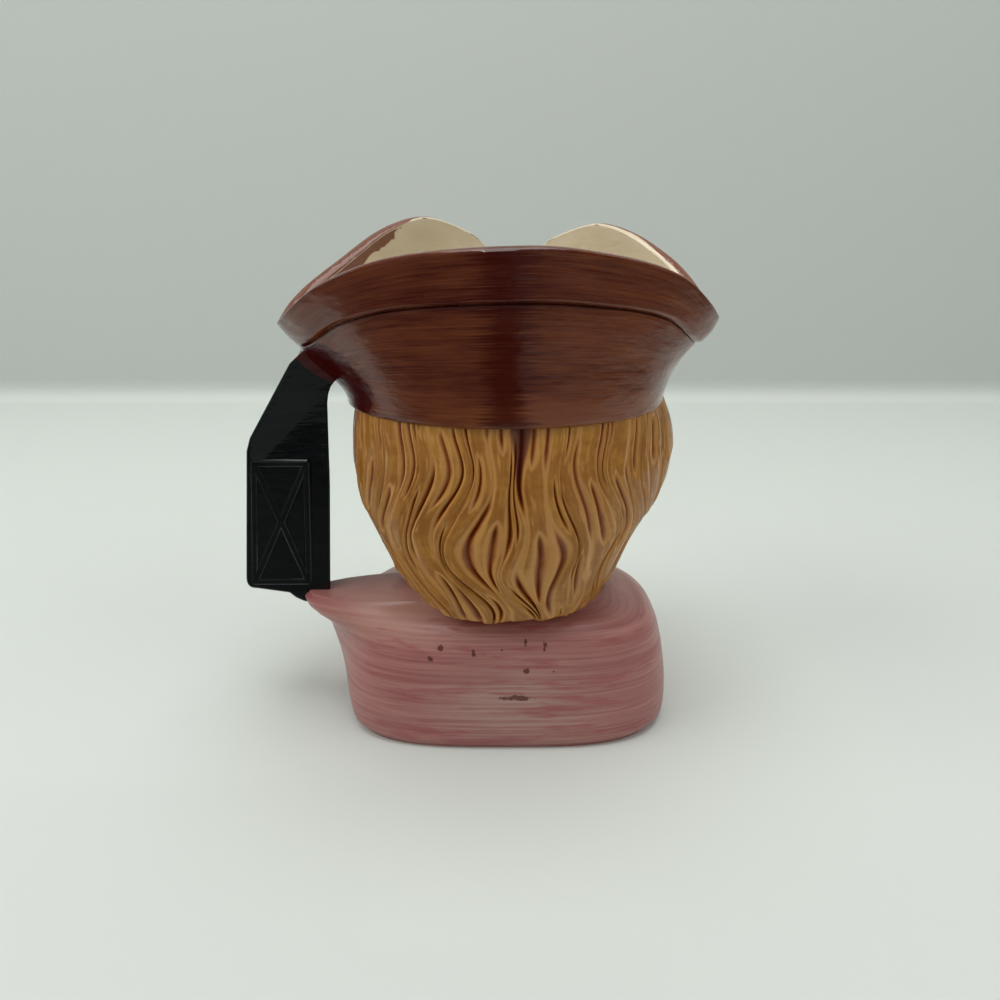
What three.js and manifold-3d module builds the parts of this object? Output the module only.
// A watchman's head toby jug: one slip-cast, glazed earthenware jug, open at the top and hollow to its floor.
// The head wears a three-cornered hat whose rim is the mouth of the jug. Combed hair covers the back and sides,
// the shoulders are the foot, and a lantern held between shoulder and hat is the handle.
// Units are millimetres. +Z is up, the face looks along -Y and the lantern is on the +X side.
// The origin is the middle of the flat underside, below the axis of the head.
// A turn is an angle about the Z axis in degrees: 0 is the back (+Y), 90 the lantern side (+X), 180 the face.
import * as THREE from "three";
import { mergeVertices } from "three/addons/utils/BufferGeometryUtils.js";
import Module from "manifold-3d";

const wasm = await Module();
wasm.setup();

// ---- Driving dimensions ----
const WALL = 4.4; // wall of the casting
const FLOOR = 6; // thickness of the bottom
const HAT_FOOT = 92.5; // height where the hat meets the hair
const RIM_ROUND = 1.1; // how far the rounded rim stands above its two edges
const CREASE = 0.73; // share of the hat's height at which the turned-up border starts
const BORDER_STEP = 1.2; // how far the border stands out from the crown
const CREASE_FADE = 0.85; // how much of that border is lost in the corner over the lantern
const RIM_DIP = 1.3; // how far the rim dips behind, on the side away from the lantern
const TIP_ROUND = 3.2; // how far the rim curls in again at the two corners, so that their tips are blunt
const SADDLE = 6; // how far the hat swells out over the head of the lantern
const HAIR_TOP = 98; // the hair runs up inside the hat to here
const HAIR_END = 130; // turn at which the hair stops and the face begins
const LOCKS = 40; // locks of hair from one temple to the other
const LOCK_DEPTH = 1.7; // from the ridge of a lock to the groove beside it
const HANDLE_TURN = 84; // turn at which the lantern joins the hat and the shoulder
const LAPEL_STEP = 1.3; // lapels stand out from the coat by this much
const LANTERN_BACK = 15; // the lantern's back and front panels, along Y
const LANTERN_FRONT = -5;
const LANTERN_TURN = 0.22; // how far the lantern's inner wall goes sideways for each mm forward
const BAR_WIDTH = 1.6; // the lantern's guard bars
const BAR_HEIGHT = 0.9;
const LOCK_COLUMNS = 2; // columns of points for each lock: its groove and its ridge
const PARTING = -4.6; // turn of the short parting below the hat
const CORNER = 75; // turn of the two back corners of the hat
const HUMP = 139; // turn of the two high points of the rim

// Smooth curves through [station, value] pairs, level at both ends.
const rimRadius = [[0, 50.5], [30, 52], [52, 56], [65, 59.6], [CORNER, 61.2], [85, 56.4], [102, 48.4], [120, 43.8], [HUMP, 42.3], [163, 48.6], [180, 58]];
const rimHeight = [[0, 132], [30, 130.5], [50, 125], [64, 118], [CORNER, 115], [84, 119.6], [102, 130], [120, 137.4], [HUMP, 140.4], [163, 136.4], [180, 128]];
const hatFlare = [[0, 0.85], [40, 1], [CORNER, 1.75], [105, 1.1], [HUMP, 0.9], [160, 1.3], [180, 2.1]];

const hairWidth = [[36, 24], [39, 29], [44.5, 32.6], [50, 34.8], [55, 36.8], [60, 39], [66, 41.4], [77, 42.6], [86, 42.2], [98, 41]];
const hairBack = [[36, 33], [39, 38], [45, 40.6], [54, 43], [66, 44.6], [78, 44.6], [88, 43], [98, 41]];
const hairFoot = [[0, 39.2], [16, 38.2], [30, 37.8], [40, 39.4], [50, 43.2], [60, 49], [68, 55.4], [80, 61], [96, 64.4], [114, 63.6], [130, 60]];

const skullBack = [[34, 28], [36, 30], [38, 34], [98, 34]];
const skullWidth = [[34, 26], [40, 30], [45, 33], [50, 35.4], [55, 38], [60, 40.8], [65, 41.8], [72, 41.2], [84, 39.8], [98, 39]];
const skullFront = [[34, 24], [39, 29], [43, 34.6], [48, 38.4], [54, 40.2], [62, 41], [72, 41], [80, 41], [90, 41.6], [98, 41]];

const coatWidth = [[0, 46.6], [2.5, 48.6], [10, 48.8], [20, 47.4], [27, 45.8], [30, 44.6], [32, 43], [33.6, 40.6], [35.4, 35.8], [37, 30], [38.5, 24]];
const coatBack = [[0, 36], [2.5, 37.4], [12, 37.6], [26, 36.2], [32, 34.4], [36, 31], [38.5, 25]];
const coatFront = [[0, 35], [2.5, 37.4], [12, 39.5], [22, 40], [28, 37], [32, 31.8], [35, 23], [37, 14], [38.5, 8]];
const bracket = [[0, 45.4], [10, 49.6], [20, 52.4], [28, 54.6], [34, 57.4], [37, 58.6], [38.5, 57]];

const noseRidge = [[60, 0], [61.4, 3.6], [62.8, 8.8], [64.8, 10.6], [67.5, 9.4], [72, 6.2], [77, 3.2], [80.5, 2.2], [88, 0]];
const noseWidth = [[60, 5.4], [64, 5.2], [68, 4.2], [77, 3.6], [88, 5.8]];

const cavityWidth = [[FLOOR, 38], [12, 43], [24, 41.6], [30, 36], [37, 27.4], [43, 26.4], [50, 30.4], [60, 35], [76, 37.4], [92.5, 39]];
const cavityBack = [[FLOOR, 29], [12, 32], [24, 31.4], [33, 27], [42, 31], [52, 36.6], [64, 38.6], [80, 38.6], [92.5, 38]];
const cavityFront = [[FLOOR, 30], [12, 34], [22, 34.6], [28, 30.6], [33, 26], [42, 26.5], [52, 33.4], [64, 35.6], [80, 35.8], [92.5, 38.6]];

const { clamp, degToRad, lerp, radToDeg, smoothstep } = THREE.MathUtils;

// Value at one station of the smooth curve through the pairs.
function through(pairs, station) {
  const last = pairs.length - 1;
  let i = 0;
  while (i < last - 1 && station > pairs[i + 1][0]) i += 1;
  const slope = (j) => (j === 0 || j === last ? 0 : (pairs[j + 1][1] - pairs[j - 1][1]) / (pairs[j + 1][0] - pairs[j - 1][0]));
  const [from, start] = pairs[i];
  const [to, end] = pairs[i + 1];
  const t = clamp((station - from) / (to - from), 0, 1);
  const lean = (to - from) * (slope(i) * t * (1 - t) ** 2 - slope(i + 1) * t * t * (1 - t));
  return lerp(start, end, t * t * (3 - 2 * t)) + lean;
}

const bump = (distance, reach) => Math.exp(-((distance / reach) ** 2));

// A turn as a signed angle from -180 to 180.
const signed = (turn) => ((((turn + 180) % 360) + 360) % 360) - 180;

// Radius at a turn of a level section that is an oval with its own half width, back and front; square is how boxy it is.
function oval(turn, width, back, front, square = 2) {
  const across = Math.abs(Math.sin(degToRad(turn))) / width;
  const along = Math.cos(degToRad(turn));
  const depth = Math.abs(along) / (along > 0 ? back : front);
  return (across ** square + depth ** square) ** (-1 / square);
}

const polar = (turn, radius, height) =>
  new THREE.Vector3(radius * Math.sin(degToRad(turn)), radius * Math.cos(degToRad(turn)), height);

const steps = (from, to, count) => Array.from({ length: count + 1 }, (_, i) => lerp(from, to, i / count));

// A closed skin: a lathe with one column for each turn and one row for each level, its points placed by place(turn, level).
// Levels run from the bottom up, and the first and last are single points on the axis.
function turned(turns, levels, place) {
  const rows = levels.length;
  const profile = levels.map((_, i) => new THREE.Vector2(i === 0 || i === rows - 1 ? 0 : 1, i));
  const shape = new THREE.LatheGeometry(profile, turns.length);
  const position = shape.getAttribute("position");
  for (let i = 0; i < position.count; i += 1) {
    const column = Math.floor(i / rows) % turns.length;
    const point = place(turns[column], levels[rows - 1 - (i % rows)]);
    position.setXYZ(i, point.x, point.y, point.z);
  }
  return solid(shape);
}

// A closed three.js geometry as a manifold-3d solid.
function solid(geometry) {
  const bare = geometry.index ? geometry.toNonIndexed() : geometry.clone();
  bare.deleteAttribute("normal");
  bare.deleteAttribute("uv");
  const merged = mergeVertices(bare, 1e-4);
  const mesh = new wasm.Mesh({
    numProp: 3,
    vertProperties: merged.getAttribute("position").array,
    triVerts: new Uint32Array(merged.index.array),
  });
  const made = new wasm.Manifold(mesh);
  if (made.volume() <= 0) throw new Error("a solid is inside out");
  return made;
}

// ---- The hat ----
const aroundHat = steps(0, 352.5, 47);
const hatFoot = (turn) => oval(turn, 44.4, 43.4, 44.4);

// Radius and height of the rim. The corner and the hump over the lantern are a little larger than the other two.
function rimAt(turn) {
  const radius = through(rimRadius, Math.abs(turn)) + 2 * Math.sin(degToRad(turn));
  const level = through(rimHeight, Math.abs(turn)) - Math.sin(degToRad(2 * turn));
  return [radius, level - RIM_DIP * bump(turn + 30, 16)];
}

// The front of the brim leans a little away from the lantern.
const brimLean = (turn, share) => -2.8 * share * smoothstep(Math.abs(signed(turn)), 80, 104);

// How far the hat stands out from its plain flare: the step of its border, the blunt tips and the saddle over the lantern.
function hatSwell(angle, share) {
  const border = BORDER_STEP * (1 - CREASE_FADE * bump(angle - CORNER, 14));
  const step = border * (smoothstep(share, CREASE - 0.005, CREASE + 0.02) - share);
  const tip = TIP_ROUND * smoothstep(share, 0.8, 1.15) * bump(Math.abs(angle) - CORNER, 11);
  return step - tip + SADDLE * bump(angle - HANDLE_TURN, 9) * bump(share - 0.55, 0.26);
}

// A point on the outside of the hat: share is 0 at the foot and 1 at the rim.
function hatSkin(turn, share, inset = 0) {
  const angle = signed(turn);
  const [radius, height] = rimAt(angle);
  const foot = hatFoot(angle);
  const flare = share ** through(hatFlare, Math.abs(angle));
  const out = lerp(foot, radius, flare) + hatSwell(angle, share) - inset;
  const point = polar(angle, out, lerp(HAT_FOOT, height, share));
  point.x += brimLean(turn, share);
  return point;
}

function hat() {
  const rows = [[0, 2.6], [0, 0.4], [0.035, 0], [0.25, 0], [0.5, 0], [CREASE - 0.006, 0], [CREASE + 0.022, 0], [0.93, 0], [1, 0.7]];
  return turned(aroundHat, ["floor", ...rows, "crest", "inner edge", "well"], (turn, level) => {
    if (level === "floor") return new THREE.Vector3(0, 0, HAT_FOOT + 2);
    if (level === "well") return new THREE.Vector3(0, 0, HAT_FOOT + 10);
    if (level === "crest") return hatSkin(turn, 1, WALL / 2).add(new THREE.Vector3(0, 0, RIM_ROUND));
    if (level === "inner edge") return hatSkin(turn, 1, WALL + 0.6).sub(new THREE.Vector3(0, 0, 0.4));
    return hatSkin(turn, ...level);
  });
}

// ---- The hair ----
// How far a lock has swung aside, in degrees, on its way down from the hat: in to the parting, out over the
// nape, then all one way.
function sway(turn, height) {
  const fall = clamp((HAT_FOOT - height) / (HAT_FOOT - 39), 0, 1);
  const side = Math.tanh((turn - PARTING) / 22);
  const outward = side * (11 * bump(fall - 0.6, 0.2) - 5 * bump(fall - 0.2, 0.15));
  const sweep = -8 * smoothstep(fall, 0.66, 1) - 0.12 * turn * fall;
  const ripple = fall * (2.2 * Math.sin(0.16 * turn + 11 * fall) + Math.sin(0.37 * turn - 14 * fall));
  const front = 5 * Math.sign(turn) * bump(Math.abs(turn) - HAIR_END, 22) * Math.sin(7 * fall);
  return (outward + sweep + ripple) * bump(turn, 78) + front;
}

// The locks over the ear swell on the side away from the lantern.
const earLock = (turn, height) => (turn < 0 ? 5.6 : 0.6) * bump(Math.abs(turn) - 92, 30) * bump(height - 80, 19) * smoothstep(height, 56, 64);

// The place of a point on the locks. lock counts grooves from one temple, and halves are ridges.
function lockSkin(lock, share) {
  const even = lerp(-HAIR_END, HAIR_END, (lock + 0.22 * Math.sin(2.4 * lock)) / LOCKS);
  const foot = through(hairFoot, Math.abs(even)) + 1.1 * Math.sin(lock * 1.9);
  const tuck = 1 - smoothstep(share, 0, 0.02);
  const height = lerp(foot, HAIR_TOP, share) - 2.4 * tuck;
  const angle = even + sway(even, height);
  const body = oval(angle, through(hairWidth, height), through(hairBack, height), 41, 2.2) + earLock(angle, height);
  const groove = Math.abs(Math.cos(Math.PI * lock)) ** 1.5 * (0.62 + 0.38 * Math.sin(1.7 * lock + 9 * share));
  const parting = 1.6 * bump(even - PARTING, 3.4) * smoothstep(height, 73, 84);
  return polar(angle, body + 0.4 - LOCK_DEPTH * groove - parting - 4 * tuck, height);
}

function hair() {
  const columns = steps(0, LOCKS, LOCKS * LOCK_COLUMNS);
  const hidden = steps(HAIR_END + 12, 360 - HAIR_END - 12, 4).map((turn) => ({ turn }));
  return turned([...columns, ...hidden], ["under", 0, 0.03, ...steps(0.09, 0.9, 12), 1, "over"], (column, level) => {
    if (level === "under") return new THREE.Vector3(0, 0, 46);
    if (level === "over") return new THREE.Vector3(0, 0, HAIR_TOP);
    if (column.turn) return polar(column.turn, 24, lerp(60, HAIR_TOP, level));
    return lockSkin(column, level);
  });
}

// ---- The face ----
// The relief of one eye: a socket, and lids over a ball that shows through an almond opening.
function eyeRelief(x, height) {
  const across = x - 12.4;
  const up = height - 75.4;
  const socket = -3.6 * bump(across, 8.4) * bump(up - 0.6, 5.6);
  const ball = -8 + Math.sqrt(Math.max(0, 64 - across ** 2 - up ** 2)) - 0.9;
  const opening = (1 - clamp(Math.abs(across) / 5.8, 0, 1) ** 2) ** 0.8;
  const open = up < 2.5 * opening && up > -1.8 * opening;
  return open ? ball : Math.max(socket, ball + 1);
}

// The relief of the mouth: two lips that meet along a line a little raised at its corners.
function lipRelief(x, height) {
  const up = height - 55 - 0.009 * x * x;
  const full = Math.sqrt(clamp(1 - (x / 9.6) ** 2, 0, 1));
  const bow = 1 - 0.2 * bump(x, 1.8);
  return full * (1.5 * bump(up - 1.4 * full * bow, 1.2) + 2 * bump(up + 1.7 * full, 1.5) - 1.3 * bump(up, 0.7));
}

// How far the face stands out at a distance from its middle line and a height.
function features(aside, height) {
  const x = Math.abs(aside);
  const swell = (size, px, pz, rx, rz) => size * bump(x - px, rx) * bump(height - pz, rz);
  const nose = through(noseRidge, height) * Math.exp(-((x / through(noseWidth, height)) ** 2.6)) + swell(3.4, 6.2, 63.2, 2.3, 2.3);
  const browLine = 81.2 + 1.8 * Math.sin((Math.PI * clamp(x - 4, 0, 17)) / 22);
  const brow = 1.5 * bump(height - browLine, 1.9) * smoothstep(x, 2.5, 6) * (1 - smoothstep(x, 17, 22)) + swell(1.6, 12, 84, 11, 4);
  const cheek = swell(2.8, 22, 63.5, 9.5, 8.5) - 0.8 * bump(x - 7.6 - 0.45 * (64 - height), 1.4) * bump(height - 58.5, 4.5);
  const jaw = swell(2.2, 0, 55, 12, 7) + swell(4.8, 0, 45.6, 9.5, 4.4) - swell(1.2, 0, 50.4, 7, 1.5) - swell(0.6, 0, 59.4, 1.3, 1.6);
  return nose + eyeRelief(x, height) + brow + cheek + jaw + lipRelief(x, height);
}

function skull() {
  const across = [-35, -30.5, -26.4, -22.8, ...steps(-19.8, 19.8, 22), 22.8, 26.4, 30.5, 35];
  const front = across.map((x) => 180 - radToDeg(Math.asin(x / 41.5)));
  const levels = [
    34, 38, 41.5, 45.6, 48.6, 50.6, 52.2, 53.6, 55, 56.3, 57.8, 59.8, 61.4, 62.8, 64.8, 67.5,
    70.6, 72.6, 73.5, 75.4, 77.6, 78.6, 80.2, 82.4, 85, 88, 94,
  ];
  return turned([...front.reverse(), ...steps(246, 474, 6)], ["under", ...levels, "over"], (turn, level) => {
    if (level === "under") return new THREE.Vector3(0, 0, 33);
    if (level === "over") return new THREE.Vector3(0, 0, 99);
    const point = polar(turn, oval(turn, through(skullWidth, level), through(skullBack, level), through(skullFront, level), 2.2), level);
    if (point.y < 0) point.y -= features(point.x, level) * smoothstep(-point.y, 4, 20);
    return point;
  });
}

// ---- The coat and neckcloth ----
// The shoulders are square behind and rounder in front, and lean to the back as they rise. On the lantern side one
// reaches out as a bracket for the handle's foot.
function coatSkin(turn, height, out = 0) {
  const lean = 9 * smoothstep(height, 25, 36);
  const square = Math.abs(signed(turn)) < 90 ? 3.4 : 2.5;
  const base = oval(turn, through(coatWidth, height), through(coatBack, height) - lean, through(coatFront, height) + lean, square);
  const reach = lerp(base, through(bracket, height), bump(signed(turn) - HANDLE_TURN, 16));
  const point = polar(turn, reach + out, height);
  point.y += lean;
  return point;
}

function coat(out = 0) {
  const levels = [0, 1, 3, 11, 20, 28, 32.2, 34.2, 36.4, 38.5];
  return turned(steps(0, 351, 39), ["under", ...levels, "over"], (turn, level) => {
    if (level === "under") return new THREE.Vector3(0, 0, 0);
    if (level === "over") return new THREE.Vector3(0, 0, 39.6 + out);
    return coatSkin(turn, level, out);
  });
}

// A plate of the given outline, [x, z] pairs, pushed through the chest along Y and trimmed to a skin that much proud of the coat.
function onChest(outline, out) {
  const shape = new THREE.Shape(outline.map(([x, z]) => new THREE.Vector2(x, z)));
  const plate = new THREE.ExtrudeGeometry(shape, { depth: 46, bevelEnabled: false });
  plate.rotateX(Math.PI / 2);
  return solid(plate).intersect(coat(out));
}

function lapels() {
  const outline = [[6, 3], [15, 22], [23, 27], [20, 31], [27, 36], [16, 41], [9, 41]];
  const mirrored = outline.map(([x, z]) => [-x, z]).reverse();
  return [onChest(outline, LAPEL_STEP), onChest(mirrored, LAPEL_STEP)];
}

// The neckcloth: a band under the jaw, a knot, and two falls down the chest.
function neckcloth() {
  const band = turned(steps(0, 347, 27), ["under", 33, 36, 39.5, 43, 45, "over"], (turn, level) => {
    if (level === "under") return new THREE.Vector3(0, 0, 32.5);
    if (level === "over") return new THREE.Vector3(0, 0, 45.5);
    const swell = 2.6 * Math.sqrt(Math.max(0, 1 - ((level - 39) / 6.3) ** 2));
    return polar(turn, oval(turn, 30.5, 27, 33) + swell - 1.4, level);
  });
  const knot = new THREE.SphereGeometry(1, 12, 6);
  knot.scale(6.4, 4.6, 4.4);
  knot.translate(0, -36.2, 38.4);
  const fall = onChest([[-9.5, 12], [-3, 9.5], [0.5, 12.5], [6, 10.5], [9, 14], [5, 38], [-5, 38]], 2.6);
  return [band, solid(knot), fall];
}

// ---- The lantern handle ----
// Its outline seen from behind: the slanted roof is outside, the straight wall faces the head. It narrows in Y towards
// the top, and its inner wall is turned a little to face forward.
function lanternBody() {
  const outline = new THREE.Shape();
  outline.moveTo(53.4, 34);
  outline.quadraticCurveTo(59, 33, 63, 37.4);
  outline.lineTo(72.2, 38.8);
  outline.quadraticCurveTo(75.4, 38.6, 75.2, 42);
  outline.lineTo(71.2, 80);
  outline.lineTo(70, 83.6);
  outline.lineTo(58.8, 103.5);
  outline.lineTo(55, 108);
  outline.lineTo(47, 106);
  outline.lineTo(44, 100);
  outline.quadraticCurveTo(50, 99.8, 50.4, 93);
  outline.lineTo(51, 70);
  const bevel = 1.8;
  const body = new THREE.ExtrudeGeometry(outline, {
    depth: LANTERN_BACK - LANTERN_FRONT - 2 * bevel,
    bevelThickness: bevel,
    bevelSize: bevel,
    bevelOffset: -bevel,
    bevelSegments: 2,
    curveSegments: 4,
  });
  body.rotateX(Math.PI / 2);
  body.translate(0, LANTERN_BACK - bevel, 0);
  const position = body.getAttribute("position");
  const middle = (LANTERN_BACK + LANTERN_FRONT) / 2;
  for (let i = 0; i < position.count; i += 1) {
    const behind = position.getY(i) - middle;
    const inner = 1 - smoothstep(position.getX(i), 54, 62);
    position.setX(i, position.getX(i) - LANTERN_TURN * behind * inner);
    position.setY(i, middle + behind * lerp(1, 0.72, smoothstep(position.getZ(i), 80, 106)));
  }
  return solid(body);
}

// A guard bar from one point to another on a panel, raised along out.
function guardBar(from, to, out) {
  const run = to.clone().sub(from);
  const bar = new THREE.CylinderGeometry(BAR_WIDTH * 0.35, BAR_WIDTH * 0.7, BAR_HEIGHT + 1, 4, 1);
  bar.rotateY(Math.PI / 4);
  bar.scale(run.length() / BAR_WIDTH, 1, 1);
  const side = new THREE.Vector3().crossVectors(run, out).normalize();
  const place = new THREE.Matrix4().makeBasis(run.clone().normalize(), out, side);
  place.setPosition(from.clone().add(to).multiplyScalar(0.5).addScaledVector(out, (BAR_HEIGHT - 1) / 2));
  bar.applyMatrix4(place);
  return solid(bar);
}

// The frame and crossed guard of one panel, given its four corners in order and the way it faces.
function guard(corners, out) {
  const [a, b, c, d] = corners;
  return [[a, b], [b, c], [c, d], [d, a], [a, c], [b, d]].map(([from, to]) => guardBar(from, to, out));
}

function lanternGuards() {
  const panel = [[55, 76.5], [69.4, 76.5], [72.6, 41], [57, 41]];
  const back = panel.map(([x, z]) => new THREE.Vector3(x, LANTERN_BACK, z));
  const front = panel.map(([x, z]) => new THREE.Vector3(x, LANTERN_FRONT, z));
  return [...guard(back, new THREE.Vector3(0, 1, 0)), ...guard(front, new THREE.Vector3(0, -1, 0))];
}

// ---- The inside ----
function cavity() {
  const wallLevels = [12, 23, 30, 38, 48, 64, 92];
  const hatLevels = [0.35, 0.7, 1, 1.25];
  return turned(aroundHat, ["floor", "floor edge", ...wallLevels, ...hatLevels, "over"], (turn, level) => {
    if (level === "over") return new THREE.Vector3(0, 0, 170);
    if (level === "floor") return new THREE.Vector3(0, 0, FLOOR);
    if (level === "floor edge") return polar(turn, oval(turn, 38, 29, 30, 3), FLOOR);
    if (level > 2) {
      const width = through(cavityWidth, level);
      return polar(turn, oval(turn, width, through(cavityBack, level), through(cavityFront, level), 2.3), level);
    }
    const point = hatSkin(turn, Math.min(level, 1), WALL);
    if (level > 1) point.z += 30;
    return point;
  });
}

// ---- The jug ----
function jug() {
  const pieces = [hat(), hair(), skull(), coat(), ...lapels(), ...neckcloth(), lanternBody(), ...lanternGuards()];
  const whole = pieces.reduce((sum, piece) => sum.add(piece)).subtract(cavity());
  const made = whole.getMesh();
  const geometry = new THREE.BufferGeometry();
  geometry.setAttribute("position", new THREE.BufferAttribute(made.vertProperties, 3));
  geometry.setIndex(new THREE.BufferAttribute(made.triVerts, 1));
  geometry.computeVertexNormals();
  return geometry;
}

const glaze = new THREE.MeshStandardMaterial({ color: 0x8a5a3c, roughness: 0.2, metalness: 0 });
const mesh = new THREE.Mesh(jug(), glaze);
mesh.name = "jug";

const group = new THREE.Group();
group.add(mesh);
export default group;
